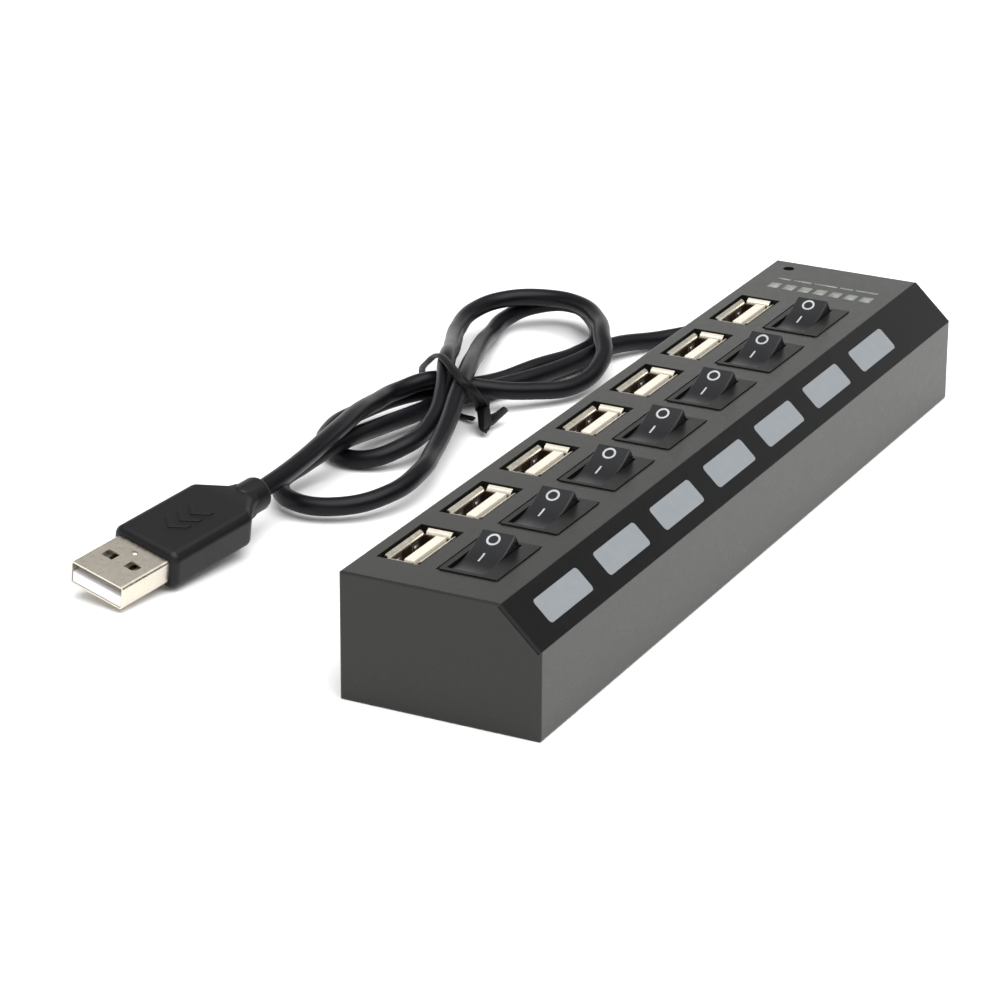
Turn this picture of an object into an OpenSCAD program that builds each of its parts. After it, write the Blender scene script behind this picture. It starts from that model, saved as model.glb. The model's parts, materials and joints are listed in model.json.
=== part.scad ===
// Seven-port USB hub with one rocker switch per port and a captive cable.
// Millimetres. The hub lies along X with its cable end at +X, its lit front edge
// at -Y and its sockets facing up. The origin is under the middle of the casing.

/* [General] */
// Sub-part to draw, or all of them

/* [Casing] */
// Length of the casing
body_l = 178; // [177:0.5:182]
// Depth of the casing, front to back
body_w = 36.8; // [36.6:0.1:38]
// Height of the casing
body_h = 22.8; // [22.8:0.1:24]
// Depth of the sloping front edge
slope_y = 7.3; // [6.8:0.1:7.5]
// Height of the sloping front edge
slope_z = 6.9; // [6.5:0.1:7.2]
// Wall thickness of the casing
wall = 1.8; // [1.6:0.1:2]

/* [Port places] */
// Distance from one port to the next
pitch = 21.9; // [21.8:0.05:22]
// Distance of the row of sockets behind the middle line
port_y = 11.9; // [11.8:0.1:12]
// Distance of the row of switch frames in front of the middle line
switch_front = 1; // [0.9:0.05:1.05]

/* [Switches] */
// Width of a rocker
rocker_w = 6.3; // [5.8:0.1:6.3]
// Tilt of a rocker to either side of level
rocker_tilt = 13; // [10:0.5:13]

/* [Light windows] */
// Length of a light window
window_l = 15.8; // [14:0.1:16]
// Width of a light window, up the slope
window_w = 4.8; // [4:0.1:5.2]

/* [Cable] */
// Diameter of the cable
cable_d = 3.5; // [3:0.1:3.5]

/* [Hidden] */
port_n = 7;
port_ids = [1:port_n];
gap = 0.15;
eps = 0.01;
past = 1; // how far a cutting shape runs past what it cuts
fine = 48; // sides of a drawn circle

// Places along the hub
first_x = -73;
window_shift = -0.7;
function port_x(i) = first_x + (i - 1) * pitch;
switch_y = -switch_front;

// Sloping front edge
slope_l = norm([slope_y, slope_z]);
slope_angle = atan2(slope_z, slope_y);
slope_top_y = slope_y - body_w / 2;
slope_low_z = body_h - slope_z;
slope_wall_drop = wall * slope_l / slope_y;
strip_t = 0.8;
strip_inset = 0.1;
window_t = 1.7;
window_r = 0.8;
window_gap = 0.1;

// Casing details
edge_r = 0.4;
boss_r = 2.4;
boss_low_z = 3.2;
boss_top_z = body_h - wall + 0.5;
pilot_r = 1.15;
pilot_top_z = 12;
boss_places = [[-83.5, -12.5], [-83.5, 12.5], [76, -12.5], [76, 12.5]];
port_hole = [15.7, 8];
panel_cut = 3;
indicator_place = [84.9, 14.1];
indicator_hole_r = 1.1;

// Bottom cover
cover_t = 2;
cover_ring_r = 4;
head_r = 2.4;
head_h = 1.4;
head_recess = 1.6;
screw_hole_r = 1.3;
shank_r = 1.1;
shank_l = 8.5;
cross_slot = [3.4, 0.7, 0.6];
standoff_r = 2;
standoff_x = [-62, 3.5, 62];
standoff_y = 7;

// Circuit board
board_z = 6.8;
board_t = 1.6;
board_top = board_z + board_t;
board_near_x = -80.9;
board_far_x = 86.6;
board_low_y = -15;
board_high_y = 15.8;
board_hole_r = 2.7;
board_notch = [3, 10.4];

// USB A sockets
socket_outer = [13.2, 5.8];
socket_wall = 0.35;
socket_top = 21.7;
socket_slack = 0.1;
lip_bend_r = 0.45;
lip_turn = 66;
lip_steps = 4;
lip_reach = [0.55, 0.35];
lip_l = [12.2, 4.6];
base_h = 2.5;
tongue = [11.4, 1.84];
tongue_top = 22.3;
tongue_offset = -0.95;
contact_w = 1;
contact_t = 0.2;
contact_low = 12.5;
contact_top = 21.2;
contact_places = [-3.5, -1, 1, 3.5];

// Rocker switches
frame_size = [16, 10.7];
frame_top = body_h + 0.2;
frame_edge = 0.25;
frame_plate = 1.6;
housing_in = 0.2;
hole_snug = 0.05;
hole_loose = [0.35, 0.5];
rocker_y = 0;
rocker_r = 6.86;
pocket = [2 * (rocker_r + 0.14), rocker_w + 0.4];
pocket_floor = 14.5;
pivot_z = 20.8;
pivot_r = 0.9;
pivot_clearance = 0.05;
pivot_end = rocker_w / 2 + 0.6;
rocker_rise = 2.2;
rocker_hollow_r = 17.5;
rocker_low = -2.8;
terminal = [0.8, 2, 4.2];
terminal_places = [-5, 0, 5];

// Lamps
lamp_r = 1.5;
lamp_y = -11.8;
lamp_top = 15;
indicator_r = 1;
indicator_top = 21.4;

// Parts on the board
chip = [7, 7, 1];
chip_place = [71, -2.5];
crystal_size = [5, 3.2, 1.2];
crystal_place = [71, 4.5];
can_r = 2.5;
can_h = 6;
can_places = [[69, 11], [69, -10.5]];
chip_part = [2, 1.2, 0.6];
chip_part_x = [68, 71, 74];
chip_part_y = -7.8;

// Cable outlet in the far end
outlet_y = 4;
outlet_z = 11;
outlet_hole_r = 3.2;
flange_r = 4.1;
flange_in_x = 84.7;
neck_r = 3.1;
collar_r = 4.1;
collar_x = body_l / 2 + 1.5;
collar_gap = 0.1;
sleeve_big_r = 3.3;
sleeve_small_r = 2.3;
sleeve_end_x = 101.5;
groove_n = 4;
groove_w = 0.9;
groove_d = 0.45;
lead_r = 0.5;
lead_down_x = 81.5;
lead_places = [2.2, 3.4, 4.6, 5.8];

// Plug on the free end of the cable: its mouth, and how it lies
plug_tip = [-75.6, 73.8, 4.15];
plug_turn = [10.8, -5, -10.6];
plug_w = 12;
plug_h = 4.5;
plug_wall = 0.3;
plug_r = 0.6;
plug_out = 11.9;
plug_in = 5;
latch = [2.2, 2.5];
latch_x = 6.3;
latch_y = 2.6;
insulator_h = 2.1;
insulator_step = 0.1;
insulator_slack = 0.05;
plug_contact = [7, 1, 0.15];
plug_contact_x = 2.4;
insulator_low = plug_wall + insulator_slack - plug_h / 2;
grip_w = 14.8;
grip_h = 7.5;
grip_r = 1.3;
grip_end = 32.4;
grip_slice = 0.2;
neck_x = 37.5;
neck_w = 6.2;
neck_h = 5.6;
neck_in = 1;
boot_r = 3.2;
boot_round = 1;
boot_end = 43.4;

// Cable route, from the plug, through two loops each way, to the hub
route = [
    [-33, 66, 8], [-26, 65.5, 8.5], [-18, 65.5, 9], [-9.5, 66, 9.5], [-1, 67, 9.5],
    [8, 68.5, 9], [17.5, 70, 7.5], [27, 70.5, 6.5], [35, 66, 7], [39.5, 58.5, 5],
    [46, 51.5, 3.5], [54.5, 45.5, 3], [65, 45, 5], [74, 49.5, 6.5], [81.5, 54, 6.5],
    [87, 60.5, 7], [88, 68.5, 7], [83, 76, 7], [75, 79, 6.5], [65.5, 77.5, 6],
    [56, 73.5, 7], [46.5, 69, 9], [37, 65, 10.5], [28, 61, 8], [17.5, 58, 5.5],
    [7.5, 58.5, 4], [2, 65, 2], [4, 73, 2.5], [12, 76.5, 3], [22, 75, 3.5],
    [32, 71, 4], [41, 67, 3], [50.5, 62, 2], [61.5, 57.5, 2.5], [72, 54.5, 2],
    [82, 54.5, 2], [89.5, 59, 3.5], [93, 65.5, 4.5], [90, 72.5, 4], [83, 75.5, 3],
    [73.5, 74, 3], [62.5, 70.5, 5], [51, 66, 7], [39.5, 61.5, 9], [28, 57.5, 9],
    [16.5, 54, 6.5], [5, 51, 5], [-5, 48.5, 5], [-14.5, 49.5, 4], [-22, 55.5, 3],
    [-24, 64, 3], [-19, 70, 3.5], [-9.5, 70.5, 4], [1, 68, 5.5], [12.5, 67, 4.5],
    [24.5, 65.5, 3.5], [36, 63.5, 3], [47, 59.5, 2.5], [57, 55, 2.5], [67, 52, 2.5],
    [78, 49, 3], [89, 43, 2], [101, 34, 2.5], [111, 23.5, 4.5], [115, 12.5, 7.5],
    [110, 5, 10.5], [sleeve_end_x, outlet_y, outlet_z],
];
cable_sides = 8;

// Twist tie round the bundle, and its two twisted ends
tie_r = 0.55;
tie_sides = 6;
tie_twist_r = 1;
tie_loop = [
    [33.5, 55.5, 3.2], [31, 54.6, 5.5], [28, 54.6, 8.5], [26.8, 55.9, 10.8], [28.5, 58.8, 12],
    [31.2, 61.8, 12.5], [33.8, 64.6, 12.4], [36.3, 67.4, 11.1], [38.6, 69.9, 8.9], [42, 72.8, 6.3],
    [45.5, 75, 4], [47, 75.6, 2.2], [45.5, 73.8, 0.7], [41, 69, 0.6], [37, 64.5, 0.6],
    [34.5, 60.5, 0.6], [33, 57.2, 1.1],
];
tie_across = [0.7, -0.7, 0];
tie_knot = [33.2, 56, 2.3];
tie_ends = [[37, 51.8, 2.6], [27.5, 51.8, 1.5]];

// Shared shapes

function unit(v) = v / norm(v);

// A polygon's points with each corner rounded to radius r
function eased(p, r, steps = 3) = [
    for (i = [0:len(p) - 1])
        let (
            here = p[i],
            back = unit(p[(i + len(p) - 1) % len(p)] - here),
            ahead = unit(p[(i + 1) % len(p)] - here),
            half = acos(back * ahead) / 2,
            middle = here + unit(back + ahead) * r / sin(half),
            first = here + back * r / tan(half) - middle,
            last = here + ahead * r / tan(half) - middle
        )
        for (k = [0:steps]) middle + r * unit(first * (1 - k / steps) + last * k / steps)
];

module rounded_rect(size, r) {
    square([size[0] - 2 * r, size[1]], center = true);
    square([size[0], size[1] - 2 * r], center = true);
    for (sx = [-1, 1], sy = [-1, 1])
        translate([sx * (size[0] / 2 - r), sy * (size[1] / 2 - r)]) circle(r = r, $fn = fine);
}

// An outline given in the hub's Y and Z, drawn out along X from x0 to x1
module along_x(x0, x1) {
    translate([x0, 0, 0]) rotate([90, 0, 90]) linear_extrude(x1 - x0) children();
}

module box_at(place, size, z0, z1) {
    translate([place[0] - size[0] / 2, place[1] - size[1] / 2, z0]) cube([size[0], size[1], z1 - z0]);
}

module post(place, r, z0, z1) {
    translate([place[0], place[1], z0]) cylinder(r = r, h = z1 - z0, $fn = fine);
}

// A cylinder along X from x0 to x1, at the cable outlet's height
module outlet_rod(y, r, x0, x1) {
    translate([x0, y, outlet_z]) rotate([0, 90, 0]) cylinder(r = r, h = x1 - x0, $fn = fine);
}

// The frame of the sloping edge: X along the hub, Y up the slope, Z straight out of it
module on_slope() {
    translate([0, slope_top_y - slope_y / 2, body_h - slope_z / 2]) rotate([slope_angle, 0, 0]) children();
}

// A tube swept along points, with flat ends square to it; the points never run along up
function way(p, i) = unit(p[min(i + 1, len(p) - 1)] - p[max(i - 1, 0)]);
function ring(centre, ahead, r, n, up) =
    let (side = unit(cross(up, ahead)), rise = cross(ahead, side))
    [for (k = [0:n - 1]) centre + r * (cos(360 * k / n) * side + sin(360 * k / n) * rise)];

module tube(p, r, n, up = [0, 0, 1]) {
    rings = len(p);
    points = [for (i = [0:rings - 1]) each ring(p[i], way(p, i), r, n, up)];
    walls = [
        for (i = [0:rings - 2], k = [0:n - 1])
            [i * n + k, (i + 1) * n + k, (i + 1) * n + (k + 1) % n, i * n + (k + 1) % n]
    ];
    start = [for (k = [0:n - 1]) k];
    finish = [for (k = [n - 1:-1:0]) (rings - 1) * n + k];
    polyhedron(points, concat(walls, [start], [finish]), convexity = 10);
}

// Casing

module outer_outline() {
    polygon(eased([
        [-body_w / 2, 0], [body_w / 2, 0], [body_w / 2, body_h],
        [slope_top_y, body_h], [-body_w / 2, slope_low_z],
    ], edge_r));
}

module inner_outline() {
    low_y = -body_w / 2 + wall;
    rate = slope_z / slope_y;
    polygon([
        [low_y, -past], [body_w / 2 - wall, -past], [body_w / 2 - wall, body_h - wall],
        [slope_top_y + (slope_wall_drop - wall) / rate, body_h - wall],
        [low_y, slope_low_z + wall * rate - slope_wall_drop],
    ]);
}

// Rectangle with its low corner at the origin and every corner eased
module eased_rect(size) {
    polygon(eased([[0, 0], [size[0], 0], size, [0, size[1]]], edge_r));
}

module outer_block() {
    intersection() {
        along_x(-body_l / 2, body_l / 2) outer_outline();
        translate([-body_l / 2, -body_w / 2, 0]) linear_extrude(body_h) eased_rect([body_l, body_w]);
        translate([-body_l / 2, body_w / 2, 0]) rotate([90, 0, 0])
            linear_extrude(body_w) eased_rect([body_l, body_h]);
    }
}

module bosses() {
    intersection() {
        outer_block();
        for (b = boss_places) post(b, boss_r, boss_low_z, boss_top_z);
    }
}

// Slab under the sloping edge, that far in from each end, from depth up to over
module strip_slab(inset, depth, over) {
    translate([inset - body_l / 2, -slope_l / 2, -depth])
        cube([body_l - 2 * inset, slope_l, depth + over]);
}

module window_shape(i, grow, z0, z1) {
    on_slope() translate([port_x(i) + window_shift, 0, z0])
        linear_extrude(z1 - z0) rounded_rect([window_l + grow, window_w + grow], window_r);
}

// The hole is snug at the frame's near end and front, and loose at its far end and back
module switch_opening(i) {
    low = [port_x(i), switch_y] - frame_size / 2 - [1, 1] * hole_snug;
    size = frame_size + [1, 1] * hole_snug + hole_loose;
    translate([low[0], low[1], body_h - panel_cut]) cube([size[0], size[1], panel_cut + past]);
}

module top_shell() {
    color([0.29, 0.3, 0.27])
    difference() {
        union() {
            difference() {
                outer_block();
                along_x(wall - body_l / 2, body_l / 2 - wall) inner_outline();
            }
            bosses();
        }
        on_slope() strip_slab(-past, strip_t, past);
        for (i = port_ids) {
            box_at([port_x(i), port_y], port_hole, body_h - panel_cut, body_h + past);
            switch_opening(i);
            window_shape(i, 2 * window_gap, -panel_cut, past);
        }
        for (b = boss_places) post(b, pilot_r, 0, pilot_top_z);
        post(indicator_place, indicator_hole_r, body_h - panel_cut, body_h + past);
        outlet_rod(outlet_y, outlet_hole_r, body_l / 2 - panel_cut, body_l / 2 + past);
    }
}

module bottom_cover() {
    inside = [body_l, body_w] - [1, 1] * 2 * (wall + gap);
    color([0.16, 0.16, 0.15])
    difference() {
        union() {
            box_at([0, 0], inside, 0, cover_t);
            intersection() {
                for (b = boss_places) post(b, cover_ring_r, 0, boss_low_z);
                box_at([0, 0], inside, 0, boss_low_z);
            }
            for (x = standoff_x, s = [-1, 1]) post([x, s * standoff_y], standoff_r, cover_t - eps, board_z);
        }
        for (b = boss_places) {
            post(b, head_r + gap, -past, head_recess);
            post(b, screw_hole_r, 0, boss_low_z + past);
        }
    }
}

module cover_screws() {
    color([0.6, 0.6, 0.6])
    for (b = boss_places)
        difference() {
            union() {
                post(b, head_r, head_recess - head_h, head_recess);
                post(b, shank_r, head_recess - eps, head_recess + shank_l);
            }
            for (a = [0, 90])
                translate([b[0], b[1], head_recess - head_h]) rotate([0, 0, a])
                    cube([cross_slot[0], cross_slot[1], 2 * cross_slot[2]], center = true);
        }
}

module light_strip() {
    color([0.1, 0.1, 0.11])
    difference() {
        on_slope() strip_slab(strip_inset, strip_t, 0);
        for (i = port_ids) window_shape(i, window_gap, -panel_cut, past);
    }
}

module light_window(i) {
    color([0.66, 0.68, 0.7]) window_shape(i, 0, -window_t, 0);
}

// Board and its parts

module circuit_board() {
    color([0.1, 0.3, 0.18])
    difference() {
        translate([board_near_x, board_low_y, board_z])
            cube([board_far_x - board_near_x, board_high_y - board_low_y, board_t]);
        for (b = boss_places) post(b, board_hole_r, board_z - past, board_top + past);
        box_at(
            [board_far_x, outlet_y], [2 * board_notch[0], board_notch[1]],
            board_z - past, board_top + past
        );
    }
}

// A flared lip seen from its end: it rises from a wall's top and turns outwards
module lip_outline(reach) {
    turns = [for (k = [0:lip_steps]) lip_turn * k / lip_steps];
    inner_r = lip_bend_r + socket_wall;
    onward = reach * [sin(lip_turn), cos(lip_turn)];
    inner = [for (a = turns) [lip_bend_r - inner_r * cos(a), inner_r * sin(a)]];
    outer = [for (a = turns) lip_bend_r * [1 - cos(a), sin(a)]];
    polygon(concat(
        [[0, -eps], [-socket_wall, -eps]], inner, [inner[lip_steps] + onward, outer[lip_steps] + onward],
        [for (k = [lip_steps:-1:1]) outer[k]]
    ));
}

// A lip along Y, standing on a wall that is out from the socket's middle
module lip(out, length, reach) {
    translate([out, length / 2, socket_top]) rotate([90, 0, 0]) linear_extrude(length) lip_outline(reach);
}

module port_lips(i) {
    translate([port_x(i), port_y, 0])
        for (turn = [0, 180]) {
            rotate([0, 0, turn]) lip(socket_outer[0] / 2, lip_l[1], lip_reach[0]);
            rotate([0, 0, turn + 90]) lip(socket_outer[1] / 2, lip_l[0], lip_reach[1]);
        }
}

module port_shell(i) {
    inner = socket_outer - [1, 1] * 2 * socket_wall;
    color([0.78, 0.75, 0.68])
    union() {
        difference() {
            box_at([port_x(i), port_y], socket_outer, board_top, socket_top);
            box_at([port_x(i), port_y], inner, board_top - past, socket_top + past);
        }
        port_lips(i);
    }
}

module port_insulator(i) {
    inner = socket_outer - [1, 1] * (2 * socket_wall + socket_slack);
    color([0.85, 0.82, 0.74]) {
        box_at([port_x(i), port_y], inner, board_top, board_top + base_h);
        box_at([port_x(i), port_y + tongue_offset], tongue, board_top + base_h - eps, tongue_top);
    }
}

module port_contacts() {
    face_y = port_y + tongue_offset + tongue[1] / 2;
    color([0.8, 0.65, 0.35])
    for (i = port_ids, x = contact_places)
        translate([port_x(i) + x - contact_w / 2, face_y, contact_low])
            cube([contact_w, contact_t, contact_top - contact_low]);
}

// The frame's plate, with its top edge chamfered
module switch_plate() {
    low = frame_top - frame_plate;
    intersection() {
        box_at([0, 0], frame_size, low, frame_top);
        for (turn = [0, 90])
            rotate([90, 0, turn]) linear_extrude(frame_size[0] + past, center = true) {
                across = frame_size[turn == 0 ? 0 : 1] / 2;
                polygon([
                    [-across, low], [across, low], [across, frame_top - frame_edge],
                    [across - frame_edge, frame_top], [frame_edge - across, frame_top],
                    [-across, frame_top - frame_edge],
                ]);
            }
    }
}

module switch_frame(i) {
    housing = [frame_size[0], frame_size[1] - 2 * housing_in];
    color([0.13, 0.13, 0.14])
    difference() {
        union() {
            translate([port_x(i), switch_y, 0]) switch_plate();
            box_at([port_x(i), switch_y], housing, board_top, frame_top - frame_plate + eps);
        }
        box_at([port_x(i), rocker_y], pocket, pocket_floor, frame_top + past);
        translate([port_x(i), rocker_y, pivot_z]) rotate([90, 0, 0])
            cylinder(
                r = pivot_r + pivot_clearance, h = 2 * (pivot_end + pivot_clearance),
                center = true, $fn = fine
            );
    }
}

// A rocker seen from its side, level: round ends about the pivot and a hollow top
module rocker_outline() {
    difference() {
        intersection() {
            circle(r = rocker_r, $fn = 2 * fine);
            translate([-rocker_r, rocker_low]) square([2 * rocker_r, rocker_r - rocker_low]);
        }
        translate([0, rocker_rise + rocker_hollow_r]) circle(r = rocker_hollow_r, $fn = 4 * fine);
    }
}

module rocker(i) {
    color([0.15, 0.15, 0.17])
    translate([port_x(i), rocker_y, pivot_z]) rotate([90, -rocker_tilt, 0]) {
        linear_extrude(rocker_w, center = true) rocker_outline();
        cylinder(r = pivot_r, h = 2 * pivot_end, center = true, $fn = fine);
    }
}

module switch_terminals() {
    color([0.75, 0.72, 0.6])
    for (i = port_ids, x = terminal_places)
        box_at([port_x(i) + x, switch_y], [terminal[0], terminal[1]], board_top - terminal[2], board_z);
}

module status_leds() {
    color([0.9, 0.9, 0.9])
    for (i = port_ids) {
        place = [port_x(i) + window_shift, lamp_y];
        post(place, lamp_r, board_top, lamp_top);
        translate([place[0], place[1], lamp_top]) sphere(r = lamp_r, $fn = fine);
    }
}

module power_led() {
    color([0.5, 0.1, 0.08]) {
        post(indicator_place, indicator_r, board_top, indicator_top);
        translate([indicator_place[0], indicator_place[1], indicator_top])
            sphere(r = indicator_r, $fn = fine);
    }
}

module controller_chip() {
    color([0.1, 0.1, 0.1]) box_at(chip_place, chip, board_top, board_top + chip[2]);
}

module crystal() {
    color([0.75, 0.75, 0.78]) box_at(crystal_place, crystal_size, board_top, board_top + crystal_size[2]);
}

module board_parts() {
    color([0.3, 0.3, 0.35]) {
        for (p = can_places) post(p, can_r, board_top, board_top + can_h);
        for (x = chip_part_x) box_at([x, chip_part_y], chip_part, board_top, board_top + chip_part[2]);
    }
}

// Cable outlet

module strain_relief() {
    wall_in_x = body_l / 2 - wall - collar_gap;
    wall_out_x = body_l / 2 + collar_gap;
    groove_step = (sleeve_end_x - collar_x) / (groove_n + 1);
    taper = (sleeve_big_r - sleeve_small_r) / (groove_n + 1);
    color([0.12, 0.12, 0.13])
    difference() {
        translate([0, outlet_y, outlet_z]) rotate([0, 90, 0]) rotate_extrude($fn = fine)
            polygon([
                [0, flange_in_x], [flange_r, flange_in_x], [flange_r, wall_in_x], [neck_r, wall_in_x],
                [neck_r, wall_out_x], [collar_r, wall_out_x], [collar_r, collar_x],
                [sleeve_big_r, collar_x], [sleeve_small_r, sleeve_end_x], [0, sleeve_end_x],
            ]);
        for (k = [1:groove_n]) {
            x = collar_x + k * groove_step;
            difference() {
                outlet_rod(outlet_y, sleeve_big_r + past, x - groove_w / 2, x + groove_w / 2);
                outlet_rod(outlet_y, sleeve_big_r - groove_d - k * taper, x - groove_w, x + groove_w);
            }
        }
    }
}

module lead_wires() {
    color([0.7, 0.15, 0.1])
    for (y = lead_places) {
        outlet_rod(y, lead_r, lead_down_x, flange_in_x);
        translate([lead_down_x, y, outlet_z]) sphere(r = lead_r, $fn = fine);
        post([lead_down_x, y], lead_r, board_top, outlet_z);
    }
}

module cable() {
    color([0.12, 0.12, 0.13]) tube(route, cable_d / 2, cable_sides);
}

module twist_tie() {
    color([0.06, 0.06, 0.06]) {
        tube(tie_loop, tie_r, tie_sides, tie_across);
        for (e = tie_ends) tube([tie_knot, (tie_knot + e) / 2, e], tie_twist_r, tie_sides);
    }
}

// Plug, in its own frame: X back from its mouth, Z out of its upper face

module on_plug() {
    translate(plug_tip) rotate(plug_turn) children();
}

module plug_shell() {
    color([0.76, 0.74, 0.7])
    on_plug() difference() {
        along_x(0, plug_out + plug_in) rounded_rect([plug_w, plug_h], plug_r);
        along_x(-past, plug_out + plug_in + past)
            rounded_rect([plug_w, plug_h] - [1, 1] * 2 * plug_wall, plug_r - plug_wall);
        for (s = [-1, 1]) box_at([latch_x, s * latch_y], latch, -plug_h, plug_h);
    }
}

module plug_insulator() {
    inside_w = plug_w - 2 * (plug_wall + insulator_slack);
    color([0.9, 0.9, 0.92])
    on_plug() translate([insulator_step, -inside_w / 2, insulator_low])
        cube([plug_out + plug_in - past, inside_w, insulator_h]);
}

module plug_contacts() {
    color([0.8, 0.65, 0.35])
    on_plug() for (y = contact_places)
        translate([plug_contact_x, y - plug_contact[1] / 2, insulator_low + insulator_h]) cube(plug_contact);
}

module plug_overmold() {
    snug = [plug_w, plug_h] + [1, 1] * 2 * insulator_slack;
    color([0.12, 0.12, 0.13])
    on_plug() {
        difference() {
            along_x(plug_out, grip_end) rounded_rect([grip_w, grip_h], grip_r);
            along_x(plug_out - past, plug_out + plug_in + gap) rounded_rect(snug, plug_r);
        }
        hull() {
            along_x(grip_end - eps, grip_end + grip_slice) rounded_rect([grip_w, grip_h], grip_r);
            along_x(neck_x, neck_x + grip_slice) rounded_rect([neck_w, neck_h], grip_r);
        }
        rotate([0, 90, 0]) rotate_extrude($fn = fine)
            polygon([
                [0, neck_x - neck_in], [boot_r - boot_round, neck_x - neck_in],
                [boot_r, neck_x + boot_round], [boot_r, boot_end - boot_round],
                [boot_r - boot_round, boot_end], [0, boot_end],
            ]);
    }
}

top_shell();
bottom_cover();
cover_screws();
light_strip();
for (i = port_ids) light_window(i);
circuit_board();
for (i = port_ids) port_shell(i);
for (i = port_ids) port_insulator(i);
port_contacts();
for (i = port_ids) switch_frame(i);
for (i = port_ids) rocker(i);
switch_terminals();
status_leds();
power_led();
controller_chip();
crystal();
board_parts();
strain_relief();
lead_wires();
cable();
plug_overmold();
plug_shell();
plug_insulator();
plug_contacts();
twist_tie();
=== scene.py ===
import json
import math

import bmesh
import bpy
from mathutils import Matrix, Vector


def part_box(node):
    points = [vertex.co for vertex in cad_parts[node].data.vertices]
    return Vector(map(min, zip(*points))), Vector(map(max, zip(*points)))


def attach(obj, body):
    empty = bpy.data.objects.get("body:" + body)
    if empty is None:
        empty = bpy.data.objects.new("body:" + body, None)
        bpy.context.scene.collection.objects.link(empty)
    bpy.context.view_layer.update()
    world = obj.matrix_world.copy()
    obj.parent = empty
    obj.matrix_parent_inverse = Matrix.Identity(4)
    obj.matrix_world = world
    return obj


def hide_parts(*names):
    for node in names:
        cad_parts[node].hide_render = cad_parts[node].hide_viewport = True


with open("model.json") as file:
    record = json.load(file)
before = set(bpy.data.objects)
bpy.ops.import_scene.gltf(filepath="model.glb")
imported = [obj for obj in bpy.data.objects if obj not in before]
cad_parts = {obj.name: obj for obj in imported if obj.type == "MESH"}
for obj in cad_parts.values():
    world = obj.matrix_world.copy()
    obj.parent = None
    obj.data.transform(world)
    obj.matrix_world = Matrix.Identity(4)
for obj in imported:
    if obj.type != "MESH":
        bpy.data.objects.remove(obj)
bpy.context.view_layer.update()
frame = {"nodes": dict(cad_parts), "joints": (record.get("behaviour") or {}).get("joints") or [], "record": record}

MM = 0.001
PORTS = range(1, 8)
HUB = "hub"
nodes = frame["nodes"]
scene = bpy.context.scene

# Camera: past the hub's plain end, on the windows' side, looking down about 22 degrees

CAMERA_PLACE = (-0.61423, -0.27875, 0.27906)
CAMERA_RIGHT = Vector((0.45553, -0.89021, 0.00351))
CAMERA_BACK = Vector((-0.82590, -0.42114, 0.37487))
LENS, SENSOR = 145.66, 36

camera_data = bpy.data.cameras.new("camera")
camera = bpy.data.objects.new("camera", camera_data)
scene.collection.objects.link(camera)
bpy.context.scene.camera = camera
camera_data.lens = LENS
camera_data.sensor_width = SENSOR
camera_data.clip_start = 0.01
camera_turn = Matrix((CAMERA_RIGHT, CAMERA_BACK.cross(CAMERA_RIGHT), CAMERA_BACK)).transposed()
camera.matrix_world = Matrix.Translation(CAMERA_PLACE) @ camera_turn.to_4x4()


# Materials


class Shader:
    """A material and its node tree, with short calls to add nodes to it."""

    def __init__(self, name, colour, roughness, **sockets):
        self.material = bpy.data.materials.new(name)
        self.material.use_nodes = True
        self.tree = self.material.node_tree
        self.surface = self.tree.nodes["Principled BSDF"]
        self.colour = (*colour, 1)
        self.surface.inputs["Base Color"].default_value = self.colour
        self.surface.inputs["Roughness"].default_value = roughness
        for socket, value in sockets.items():
            self.surface.inputs[socket.replace("_", " ")].default_value = value
        self.where = self.tree.nodes.new("ShaderNodeTexCoord").outputs["Object"]

    def node(self, kind, values, **settings):
        """A node with its settings, and its inputs set or linked."""
        made = self.tree.nodes.new("ShaderNode" + kind)
        for name, value in settings.items():
            setattr(made, name, value)
        for socket, value in values.items():
            if isinstance(value, bpy.types.NodeSocket):
                self.tree.links.new(value, made.inputs[socket])
            else:
                made.inputs[socket].default_value = value
        return made

    def noise(self, size_mm, detail):
        values = {"Vector": self.where, "Scale": 1000 / size_mm, "Detail": detail}
        return self.node("TexNoise", values).outputs[0]

    def spread(self, value, low, high, from_low=0.3, from_high=0.7):
        """A value moved from one range to another."""
        values = {0: value, 1: from_low, 2: from_high, 3: low, 4: high}
        return self.node("MapRange", values).outputs[0]

    def mottle(self, size_mm, amount):
        """The base colour, up to that share darker and lighter from place to place."""
        share = self.spread(self.noise(size_mm, 3), 1 - amount, 1 + amount)
        mixed = self.node("VectorMath", {0: self.colour[:3], "Scale": share}, operation="SCALE")
        self.tree.links.new(mixed.outputs[0], self.surface.inputs["Base Color"])
        return self

    def shade_below(self, colour, low_mm, high_mm):
        """Painted shade: another, darker colour below one height, which fades out by another."""
        height = self.node("SeparateXYZ", {0: self.where}).outputs["Z"]
        share = self.spread(height, 0, 1, low_mm * MM, high_mm * MM)
        above = self.surface.inputs["Base Color"].links[0].from_socket
        mixed = self.node("Mix", {0: share, 6: (*colour, 1), 7: above}, data_type="RGBA")
        self.tree.links.new(mixed.outputs[2], self.surface.inputs["Base Color"])
        return self

    def polish(self, size_mm, low, high):
        """Roughness that wanders between two values."""
        rough = self.spread(self.noise(size_mm, 2), low, high)
        self.tree.links.new(rough, self.surface.inputs["Roughness"])
        return self

    def grain(self, size_mm, depth_mm):
        """Fine bumps of that size and depth."""
        values = {"Height": self.noise(size_mm, 2), "Distance": depth_mm * MM, "Strength": 1.0}
        bump = self.node("Bump", values)
        self.tree.links.new(bump.outputs[0], self.surface.inputs["Normal"])
        return self


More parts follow.
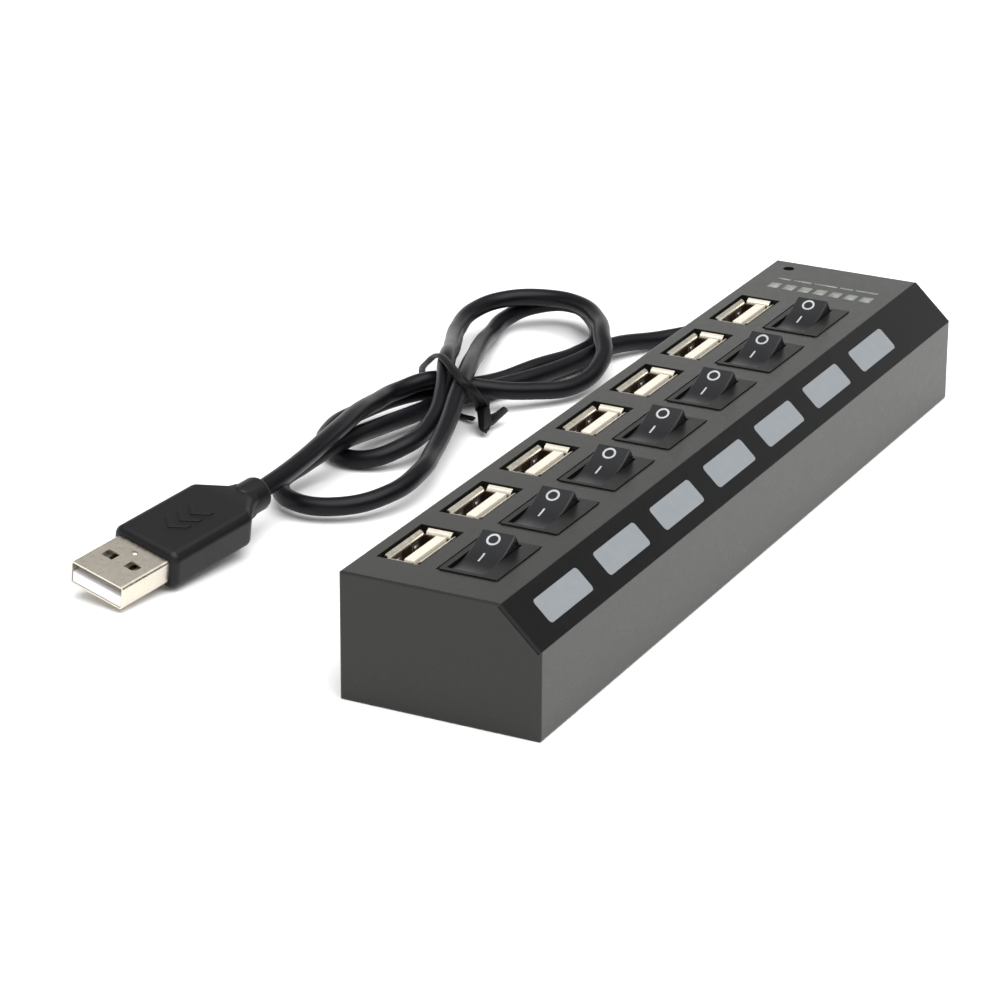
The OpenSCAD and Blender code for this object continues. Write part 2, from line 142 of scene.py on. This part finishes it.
def plastic(name, colour, roughness, grain=(0.25, 0.006), mottle=0.08, gloss=0.5):
    """Plastic with grain of that size and depth; gloss is its specular level."""
    made = Shader(name, colour, roughness, Specular_IOR_Level=gloss)
    made.mottle(2, mottle).polish(1.5, roughness - 0.02, roughness + 0.02).grain(*grain)
    return made.material


def metal(name, colour, roughness, painted_shade=None):
    """Metal, which may have painted shade: a darker colour in its hollow, given with the heights it fades between.
    """
    made = Shader(name, colour, roughness, Metallic=1.0)
    made.mottle(2.5, 0.03).polish(0.8, roughness - 0.04, roughness + 0.05).grain(0.3, 0.0004)
    if painted_shade:
        made.shade_below(*painted_shade)
    return made.material


casing = plastic("casing", (0.0105, 0.0104, 0.0078), 0.29, (0.22, 0.0035), mottle=0.05, gloss=0.38)
strip = plastic("strip", (0.0025, 0.0025, 0.003), 0.3, (0.35, 0.004), mottle=0.05, gloss=0.25)
window = plastic("window", (0.2, 0.216, 0.23), 0.34, (0.5, 0.002), mottle=0.03)
switch_frame = plastic("switch_frame", (0.005, 0.0048, 0.0043), 0.38, (0.3, 0.005), gloss=0.2)
rocker = plastic("rocker", (0.005, 0.005, 0.0065), 0.36, (0.3, 0.004), gloss=0.36)
ivory = plastic("ivory", (0.62, 0.585, 0.5), 0.42, (0.4, 0.003), mottle=0.03)
white = plastic("white", (0.78, 0.78, 0.81), 0.38, (0.4, 0.003), mottle=0.02)
lamp = plastic("lamp", (0.75, 0.78, 0.8), 0.15, (0.8, 0.001), mottle=0.02)
lamp_dark = plastic("lamp_dark", (0.012, 0.002, 0.002), 0.25, (0.8, 0.001), mottle=0.02)
lead_sheath = plastic("cable", (0.0032, 0.0032, 0.0048), 0.36, (0.6, 0.003), mottle=0.06, gloss=0.17)
plug_rubber = plastic("plug_grip", (0.0045, 0.004, 0.005), 0.44, (0.25, 0.01), gloss=0.24)
looks = {
    "casing_plastic": casing,
    "cover_plastic": plastic("cover", (0.014, 0.014, 0.012), 0.45),
    "strip_black": strip,
    "window_clear": window,
    "switch_black": switch_frame,
    "rocker_black": rocker,
    "ivory_insulator": ivory,
    "white_insulator": white,
    "nickel_shell": metal("nickel", (0.69, 0.635, 0.545), 0.3),
    "gold_contact": metal("gold", (0.8, 0.58, 0.26), 0.25),
    "tinned_terminal": metal("tinned", (0.6, 0.6, 0.57), 0.35),
    "screw_steel": metal("screw", (0.5, 0.5, 0.5), 0.32),
    "can_metal": metal("can", (0.6, 0.6, 0.62), 0.3),
    "board_green": plastic("board", (0.012, 0.09, 0.035), 0.3, (0.6, 0.004)),
    "lamp_clear": lamp,
    "lamp_red": lamp_dark,
    "chip_black": plastic("chip", (0.012, 0.011, 0.01), 0.6, gloss=0.25),
    "cable_black": lead_sheath,
    "lead_red": plastic("lead", (0.3, 0.02, 0.015), 0.35),
    "plug_grip_black": plug_rubber,
    "tie_black": plastic("tie", (0.003, 0.003, 0.0032), 0.5, (0.4, 0.006), gloss=0.18),
}
# Painted shade in the sockets: the metal turns dark brown below the mouth, where the hollow lies in shade.
SOCKET_PAINTED_SHADE = ((0.2, 0.15, 0.105), 21.5, 21.95)
socket_steel_shaded = metal("socket_steel_shaded", (0.88, 0.82, 0.7), 0.34, SOCKET_PAINTED_SHADE)
# Spring fingers: a darker copy of the socket metal, painted shade for their place deep in the socket.
spring_steel_shaded = metal("spring_steel_shaded", (0.3, 0.24, 0.2), 0.4)
marking = plastic("marking", (0.42, 0.44, 0.45), 0.5, (0.3, 0.003), mottle=0.1)
print_ink = plastic("print_ink", (0.2, 0.215, 0.19), 0.55, (0.3, 0.003), mottle=0.25)


def finish_with(obj, slot, look=None):
    """A piece's slot, with that slot's material unless another look is given."""
    obj.data.materials.clear()
    obj.data.materials.append(look or looks[slot])


# Cable, laid along the same route as its solid

CABLE_D = 3.5 * MM
ROUTE_MM = [
    (-33, 66, 8), (-26, 65.5, 8.5), (-18, 65.5, 9), (-9.5, 66, 9.5), (-1, 67, 9.5),
    (8, 68.5, 9), (17.5, 70, 7.5), (27, 70.5, 6.5), (35, 66, 7), (39.5, 58.5, 5),
    (46, 51.5, 3.5), (54.5, 45.5, 3), (65, 45, 5), (74, 49.5, 6.5), (81.5, 54, 6.5),
    (87, 60.5, 7), (88, 68.5, 7), (83, 76, 7), (75, 79, 6.5), (65.5, 77.5, 6),
    (56, 73.5, 7), (46.5, 69, 9), (37, 65, 10.5), (28, 61, 8), (17.5, 58, 5.5),
    (7.5, 58.5, 4), (2, 65, 2), (4, 73, 2.5), (12, 76.5, 3), (22, 75, 3.5),
    (32, 71, 4), (41, 67, 3), (50.5, 62, 2), (61.5, 57.5, 2.5), (72, 54.5, 2),
    (82, 54.5, 2), (89.5, 59, 3.5), (93, 65.5, 4.5), (90, 72.5, 4), (83, 75.5, 3),
    (73.5, 74, 3), (62.5, 70.5, 5), (51, 66, 7), (39.5, 61.5, 9), (28, 57.5, 9),
    (16.5, 54, 6.5), (5, 51, 5), (-5, 48.5, 5), (-14.5, 49.5, 4), (-22, 55.5, 3),
    (-24, 64, 3), (-19, 70, 3.5), (-9.5, 70.5, 4), (1, 68, 5.5), (12.5, 67, 4.5),
    (24.5, 65.5, 3.5), (36, 63.5, 3), (47, 59.5, 2.5), (57, 55, 2.5), (67, 52, 2.5),
    (78, 49, 3), (89, 43, 2), (101, 34, 2.5), (111, 23.5, 4.5), (115, 12.5, 7.5),
    (110, 5, 10.5), (101.5, 4, 11),
]


def smooth_curve(name, points, radius):
    """A round smooth curve through points, with closed ends."""
    data = bpy.data.curves.new(name, "CURVE")
    data.dimensions = "3D"
    data.bevel_depth = radius
    data.bevel_resolution = 6
    data.resolution_u = 10
    data.use_fill_caps = True
    spline = data.splines.new("BEZIER")
    spline.bezier_points.add(len(points) - 1)
    for knot, place in zip(spline.bezier_points, points):
        knot.co = place
        knot.handle_left_type = knot.handle_right_type = "AUTO"
    made = bpy.data.objects.new(name, data)
    scene.collection.objects.link(made)
    return made


cable = smooth_curve("cable_lead", [Vector(p) * MM for p in ROUTE_MM], CABLE_D / 2)
finish_with(cable, "cable_black")
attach(cable, HUB)
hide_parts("cable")


# Edges and materials of the CAD pieces that show


def soften(obj, width_mm, segments=2, angle=30):
    """Rounds a piece's edges that are sharper than the angle, without touching its mesh."""
    weld = obj.modifiers.new("weld", "WELD")
    weld.merge_threshold = 1e-6
    bevel = obj.modifiers.new("bevel", "BEVEL")
    bevel.width = width_mm * MM
    bevel.segments = segments
    bevel.limit_method = "ANGLE"
    bevel.angle_limit = math.radians(angle)
    bevel.use_clamp_overlap = False
    normals = obj.modifiers.new("normals", "WEIGHTED_NORMAL")
    normals.keep_sharp = False


slots = {row["node"]: row["material_slot"] for row in frame["record"]["subparts"]}
for name, obj in nodes.items():
    # Port shells take the socket metal with its painted shade.
    finish_with(obj, slots[name], socket_steel_shaded if name.startswith("port_shell") else None)
for name, width_mm in {"plug_insulator": 0.15, "bottom_cover": 0.3, "cover_screws": 0.15}.items():
    soften(nodes[name], width_mm)
for i in PORTS:
    soften(nodes[f"port_insulator_{i}"], 0.2)
    soften(nodes[f"rocker_{i}"], 0.28, 3)

# Pieces built in mesh


def mesh_piece(name, slot, shape, place=Matrix.Identity(4), body=HUB, look=None):
    """A piece from corners in millimetres and faces, put in place and riding on a body."""
    corners, faces = shape
    data = bpy.data.meshes.new(name)
    data.from_pydata([place @ (Vector(c) * MM) for c in corners], [], faces)
    built = bmesh.new()
    built.from_mesh(data)
    bmesh.ops.remove_doubles(built, verts=built.verts, dist=1e-7)
    bmesh.ops.recalc_face_normals(built, faces=built.faces)
    built.to_mesh(data)
    built.free()
    for face in data.polygons:
        face.use_smooth = True
    made = bpy.data.objects.new(name, data)
    scene.collection.objects.link(made)
    finish_with(made, slot, look)
    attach(made, body)
    return made


def skin(rings):
    """Corners and faces of a tube through rings of points, with its ends closed."""
    sides = len(rings[0])
    corners = [p for ring in rings for p in ring]
    faces = [
        (a + k, a + sides + k, a + sides + (k + 1) % sides, a + (k + 1) % sides)
        for a in range(0, len(corners) - sides, sides) for k in range(sides)
    ]
    ends = [tuple(range(sides)), tuple(range(len(corners) - sides, len(corners)))]
    return corners, faces + ends


def plate(outline, thick):
    """Corners and faces of a flat outline in X and Y, raised by its thickness."""
    return skin([[(x, y, z) for x, y in outline] for z in (0, thick)])


def turned(profile, sides=40):
    """Corners and faces of (x, radius) pairs turned about X."""
    around = [2 * math.pi * k / sides for k in range(sides)]
    return skin([[(x, r * math.cos(a), r * math.sin(a)) for a in around] for x, r in profile])


# Plug grip, in the plug's own frame: X back from its mouth, Z out of its upper face

PLUG_TIP = Vector((-75.6, 73.8, 4.15)) * MM
PLUG_TURN = {"Z": -10.6, "Y": -5, "X": 10.8}
plug_frame = Matrix.Translation(PLUG_TIP)
for axis, angle in PLUG_TURN.items():
    plug_frame = plug_frame @ Matrix.Rotation(math.radians(angle), 4, axis)

# Each section: how far back it is, its half width, its half height, and its cut corners
GRIP_SECTIONS = [
    (11.9, 6.5, 2.9, 0.6), (12.8, 7.4, 3.75, 1.2), (32.2, 7.4, 3.75, 1.2),
    (37.3, 3.3, 2.9, 0.9), (39.5, 3, 2.6, 0.9),
]
BOOT_PROFILE = [
    (36.5, 0.5), (36.5, 2.4), (36.9, 2.9), (37.6, 3.2),
    (42.2, 3.2), (42.9, 2.95), (43.4, 2.4), (43.4, 1.6),
]


def grip_ring(x, half_w, half_h, cut):
    """An eight-sided ring: a rectangle with its corners cut."""
    low_w, low_h = half_w - cut, half_h - cut
    return [
        (x, half_w, low_h), (x, low_w, half_h), (x, -low_w, half_h), (x, -half_w, low_h),
        (x, -half_w, -low_h), (x, -low_w, -half_h), (x, low_w, -half_h), (x, half_w, -low_h),
    ]


grip_shape = skin([grip_ring(*section) for section in GRIP_SECTIONS])
grip = mesh_piece("plug_grip", "plug_grip_black", grip_shape, plug_frame)
soften(grip, 0.55, 4, 15)
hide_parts("plug_overmold")
boot = mesh_piece("plug_boot", "plug_grip_black", turned(BOOT_PROFILE), plug_frame)
soften(boot, 0.25, 3, 20)

# Three raised chevrons on the grip's upper face

CHEVRON_HALF_W, CHEVRON_DEPTH, CHEVRON_BAR = 2.6, 2.4, 1.1
CHEVRON_START, CHEVRON_PITCH = 18, 3
CHEVRON_LOW_Z, CHEVRON_T = 3.65, 0.3


def chevron(tip):
    """The outline of a chevron that points towards the plug's mouth."""
    wing = tip + CHEVRON_DEPTH
    return [
        (tip, 0), (wing, CHEVRON_HALF_W), (wing + CHEVRON_BAR, CHEVRON_HALF_W),
        (tip + CHEVRON_BAR, 0), (wing + CHEVRON_BAR, -CHEVRON_HALF_W), (wing, -CHEVRON_HALF_W),
    ]


grip_top = plug_frame @ Matrix.Translation((0, 0, CHEVRON_LOW_Z * MM))
for k in range(3):
    arrow_shape = plate(chevron(CHEVRON_START + CHEVRON_PITCH * k), CHEVRON_T)
    arrow = mesh_piece(f"grip_chevron_{k + 1}", "plug_grip_black", arrow_shape, grip_top)
    soften(arrow, 0.12)

# The small raised dimple on the plug's metal shell

DIMPLE_PROFILE = [(0, 0.62), (0.06, 0.55), (0.11, 0.35), (0.13, 0.05)]
DIMPLE_X, DIMPLE_LOW_Z = 9.6, 2.24
dimple_place = plug_frame @ Matrix.Translation((DIMPLE_X * MM, 0, DIMPLE_LOW_Z * MM))
dimple_place = dimple_place @ Matrix.Rotation(-math.pi / 2, 4, "Y")
mesh_piece("shell_dimple", "nickel_shell", turned(DIMPLE_PROFILE, 24), dimple_place)

# Twist tie: a flat ribbon with a wire down its middle, round the bundle, and its twisted ends

TIE_LOOP_MM = [
    (33.5, 55.5, 3.2), (31, 54.6, 5.5), (28, 54.6, 8.5), (26.8, 55.9, 10.8), (28.5, 58.8, 12),
    (31.2, 61.8, 12.5), (33.8, 64.6, 12.4), (36.3, 67.4, 11.1), (38.6, 69.9, 8.9), (42, 72.8, 6.3),
    (45.5, 75, 4), (47, 75.6, 2.2), (45.5, 73.8, 0.7), (41, 69, 0.6), (37, 64.5, 0.6),
    (34.5, 60.5, 0.6), (33, 57.2, 1.1),
]
TIE_ACROSS = Vector((0.7, -0.7, 0)).normalized()
RIBBON_HALF = [
    (0.75, 0.12), (0.7, 0.22), (0.35, 0.24), (0.2, 0.45),
    (-0.2, 0.45), (-0.35, 0.24), (-0.7, 0.22), (-0.75, 0.12),
]
RIBBON = RIBBON_HALF + [(-w, -t) for w, t in RIBBON_HALF]


def smooth_path(points, steps=6):
    """Points along a Catmull-Rom curve through the given ones."""
    knots = [Vector(p) for p in points]
    knots = [2 * knots[0] - knots[1], *knots, 2 * knots[-1] - knots[-2]]
    path = []
    for a, b, c, d in zip(knots, knots[1:], knots[2:], knots[3:]):
        for k in range(steps):
            t = k / steps
            bend = (2 * a - 5 * b + 4 * c - d) * t**2 + (3 * b - a - 3 * c + d) * t**3
            path.append((2 * b + (c - a) * t + bend) / 2)
    return [*path, knots[-2]]


def ribbon_rings(path, across, section, widths, twist=0.0):
    """Rings of a flat section along a path.

    The section's width lies along across, is scaled by widths, and turns by twist in all.
    """
    rings = []
    for k, here in enumerate(path):
        ahead = (path[min(k + 1, len(path) - 1)] - path[max(k - 1, 0)]).normalized()
        side = (across - ahead * across.dot(ahead)).normalized()
        rise = ahead.cross(side)
        share = k / (len(path) - 1)
        wide = side * math.cos(twist * share) + rise * math.sin(twist * share)
        thick = ahead.cross(wide)
        grow = widths(share)
        rings.append([here + wide * w * grow + thick * t for w, t in section])
    return rings


def loop_width(share):
    """Widest at the knot, where the ribbon's face shows."""
    return 0.85 + 0.9 * (1 - share) ** 3


def tail_width(share):
    """Even, and rounded off at the tip."""
    return 1.7 * math.sqrt(max(0.05, 1 - max(0, share - 0.8) ** 2 / 0.04))


loop_rings = ribbon_rings(smooth_path(TIE_LOOP_MM), TIE_ACROSS, RIBBON, loop_width)
tie = mesh_piece("tie_ribbon", "tie_black", skin(loop_rings))
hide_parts("twist_tie")
TAIL_SECTION = [(w, t * 1.5) for w, t in RIBBON]
TAIL_TWIST = 0.5
TAILS = {
    "right": ([(32.2, 54.5, 2.6), (31.2, 53, 2.2), (32.5, 52.3, 2.2), (36.6, 52, 2.8)], (0, 0, 1)),
    "near": (
        [(35.5, 56.2, 4.7), (32.6, 54.8, 3.9), (29.9, 53.1, 2.9), (27.2, 51.6, 1.4)],
        (0.46, -0.89, 0),
    ),
}
for name, (points, across) in TAILS.items():
    tail_path = smooth_path(points, 10)
    tail_rings = ribbon_rings(tail_path, Vector(across), TAIL_SECTION, tail_width, TAIL_TWIST)
    mesh_piece(f"tie_tail_{name}", "tie_black", skin(tail_rings))

# Marks on the rockers, laid on their hollow tops

ROCKER_TILT = math.radians(13)
ROCKER_RISE, ROCKER_HOLLOW_R = 2.2, 17.5
INK = 0.03
MARK_SHIFT = 0.3
OFF_RING = {"centre": 4.4, "outer": 1.22, "inner": 0.84}
ON_BAR = {"centre": -0.1, "length": 2.4, "width": 0.32}
pivots = {j["child"]: Vector(j["pos_m"]) for j in frame["joints"]}


def on_rocker(x, y, lift):
    """A point on a level rocker's hollow top, in its tilted place about its pivot."""
    height = ROCKER_RISE + ROCKER_HOLLOW_R - math.sqrt(ROCKER_HOLLOW_R**2 - x**2) + lift
    return (
        x * math.cos(ROCKER_TILT) - height * math.sin(ROCKER_TILT), y,
        x * math.sin(ROCKER_TILT) + height * math.cos(ROCKER_TILT),
    )


def ring_mark(centre, outer, inner, sides=40):
    """Corners and faces of a printed ring."""
    around = [2 * math.pi * k / sides for k in range(sides)]
    loops = [(outer, -INK), (outer, INK), (inner, INK), (inner, -INK)]
    corners = [
        on_rocker(centre + r * math.cos(a), r * math.sin(a), lift) for a in around for r, lift in loops
    ]
    faces = []
    for k in range(sides):
        here, ahead = 4 * k, 4 * ((k + 1) % sides)
        faces += [(here + m, here + (m + 1) % 4, ahead + (m + 1) % 4, ahead + m) for m in range(4)]
    return corners, faces


def bar_mark(centre, length, width, steps=8):
    """Corners and faces of a printed bar along the rocker."""
    half = width / 2
    section = [(half, -INK), (half, INK), (-half, INK), (-half, -INK)]
    places = [centre + length * (k / steps - 0.5) for k in range(steps + 1)]
    return skin([[on_rocker(x, y, lift) for y, lift in section] for x in places])


marks = {"off_mark": ring_mark(**OFF_RING), "on_mark": bar_mark(**ON_BAR)}
for i in PORTS:
    body = f"rocker_{i}_body"
    place = Matrix.Translation(pivots[body] + Vector((0, MARK_SHIFT * MM, 0)))
    for name, shape in marks.items():
        mesh_piece(f"{name}_{i}", "rocker_black", shape, place, body, marking)

# Spring fingers in each socket's wall, each on a black panel of painted shade where its slot shows dark

SOCKET_WALL_Y = 14.45
SPRING_X = 3.1
SLOT_W, FINGER_W = 2.8, 1.5
SLOT_Z = (15.5, 21.5)
SLOT_DEPTHS = (-0.02, 0.03)
FINGER_Z = (16, 21)
FINGER_BOW, FINGER_T, FINGER_GAP = 0.45, 0.12, 0.05


def slot_shade_shape(x):
    """A black panel on the wall's inner face: painted shade where the spring's slot shows dark."""
    (left, right), (low, high) = (x - SLOT_W / 2, x + SLOT_W / 2), SLOT_Z
    outline = [(left, low), (right, low), (right, high), (left, high)]
    return skin([[(u, SOCKET_WALL_Y - d, v) for u, v in outline] for d in SLOT_DEPTHS])


def finger_shape(x, steps=12):
    """A strip bowed out of the wall towards the tongue."""
    low, high = FINGER_Z
    left, right = x - FINGER_W / 2, x + FINGER_W / 2
    rings = []
    for k in range(steps + 1):
        share = k / steps
        front = SOCKET_WALL_Y - FINGER_GAP - FINGER_BOW * math.sin(math.pi * share)
        back = front - FINGER_T
        z = low + (high - low) * share
        rings.append([(left, front, z), (right, front, z), (right, back, z), (left, back, z)])
    return skin(rings)


for i in PORTS:
    port_x = pivots[f"rocker_{i}_body"].x / MM
    for side, x in {"near": port_x - SPRING_X, "far": port_x + SPRING_X}.items():
        # A black panel of painted shade behind each finger, where its slot shows dark.
        mesh_piece(f"spring_slot_shade_{i}_{side}", "chip_black", slot_shade_shape(x))
        # Each finger takes the darker metal, painted shade in the socket.
        finger = finger_shape(x)
        mesh_piece(f"spring_finger_{i}_{side}", "nickel_shell", finger, look=spring_steel_shaded)

# Plain print at the far end of the top: seven blocks and a broken line

BLOCK_X, BLOCK_SIZE = 74.4, (3, 2.2)
BLOCK_START_Y, BLOCK_PITCH = 12.6, 3.2
LINE_X, LINE_W = 78.6, 0.7
LINE_DASHES = [(13.6, 10.9), (10.3, 6.6), (6, 1.2), (0.6, -2.2), (-2.8, -7.4)]
on_top = Matrix.Translation((0, 0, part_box("top_shell")[1].z))


def print_block(name, x, y, length, width):
    half_l, half_w = length / 2, width / 2
    outline = [
        (x - half_l, y - half_w), (x + half_l, y - half_w),
        (x + half_l, y + half_w), (x - half_l, y + half_w),
    ]
    mesh_piece(name, "casing_plastic", plate(outline, INK), on_top, look=print_ink)


for i in PORTS:
    print_block(f"print_block_{i}", BLOCK_X, BLOCK_START_Y - BLOCK_PITCH * (i - 1), *BLOCK_SIZE)
for k, (start, end) in enumerate(LINE_DASHES):
    print_block(f"print_dash_{k + 1}", LINE_X, (start + end) / 2, LINE_W, start - end)

# Floor

FLOOR_REACH = 4.0
floor_mesh = bpy.data.meshes.new("floor")
floor_corners = [(x * FLOOR_REACH, y * FLOOR_REACH, 0) for x, y in [(-1, -1), (1, -1), (1, 1), (-1, 1)]]
floor_mesh.from_pydata(floor_corners, [], [(0, 1, 2, 3)])
floor = bpy.data.objects.new("floor", floor_mesh)
scene.collection.objects.link(floor)
floor.location.z = -0.02 * MM
floor.data.materials.append(Shader("floor", (0.93, 0.93, 0.925), 0.7).material)

# Light: one large softbox overhead and a plain sky

BOX_PLACE, BOX_SIZE, BOX_WATTS = Vector((-0.5, -0.75, 2.1)), 2.6, 78
SKY_UP = (0, -0.12, 1)
SKY_STRENGTH = 1.2
SKY_STEPS = [(0.29, 1.0), (0.41, 0.05), (0.52, 0.05), (0.68, 0.45), (0.86, 0.9)]

box_data = bpy.data.lights.new("overhead", "AREA")
box_data.shape = "RECTANGLE"
box_data.size = box_data.size_y = BOX_SIZE
box_data.energy = BOX_WATTS
softbox = bpy.data.objects.new("overhead", box_data)
scene.collection.objects.link(softbox)
softbox.location = BOX_PLACE
softbox.rotation_mode = "QUATERNION"
softbox.rotation_quaternion = (-BOX_PLACE).to_track_quat("-Z", "Y")

world = bpy.data.worlds.new("studio")
scene.world = world
world.use_nodes = True
sky = world.node_tree.nodes
way_up = sky.new("ShaderNodeVectorMath")
way_up.operation = "DOT_PRODUCT"
way_up.inputs[1].default_value = SKY_UP
fade = sky.new("ShaderNodeValToRGB")
stops = fade.color_ramp.elements
for step, (height, level) in enumerate(SKY_STEPS):
    stop = stops[step] if step < 2 else stops.new(height)
    stop.position = height
    stop.color = (level, level, level, 1)
links = world.node_tree.links
links.new(sky.new("ShaderNodeTexCoord").outputs["Generated"], way_up.inputs[0])
links.new(way_up.outputs["Value"], fade.inputs[0])
links.new(fade.outputs[0], sky["Background"].inputs["Color"])
sky["Background"].inputs["Strength"].default_value = SKY_STRENGTH
scene.view_settings.view_transform = "Standard"
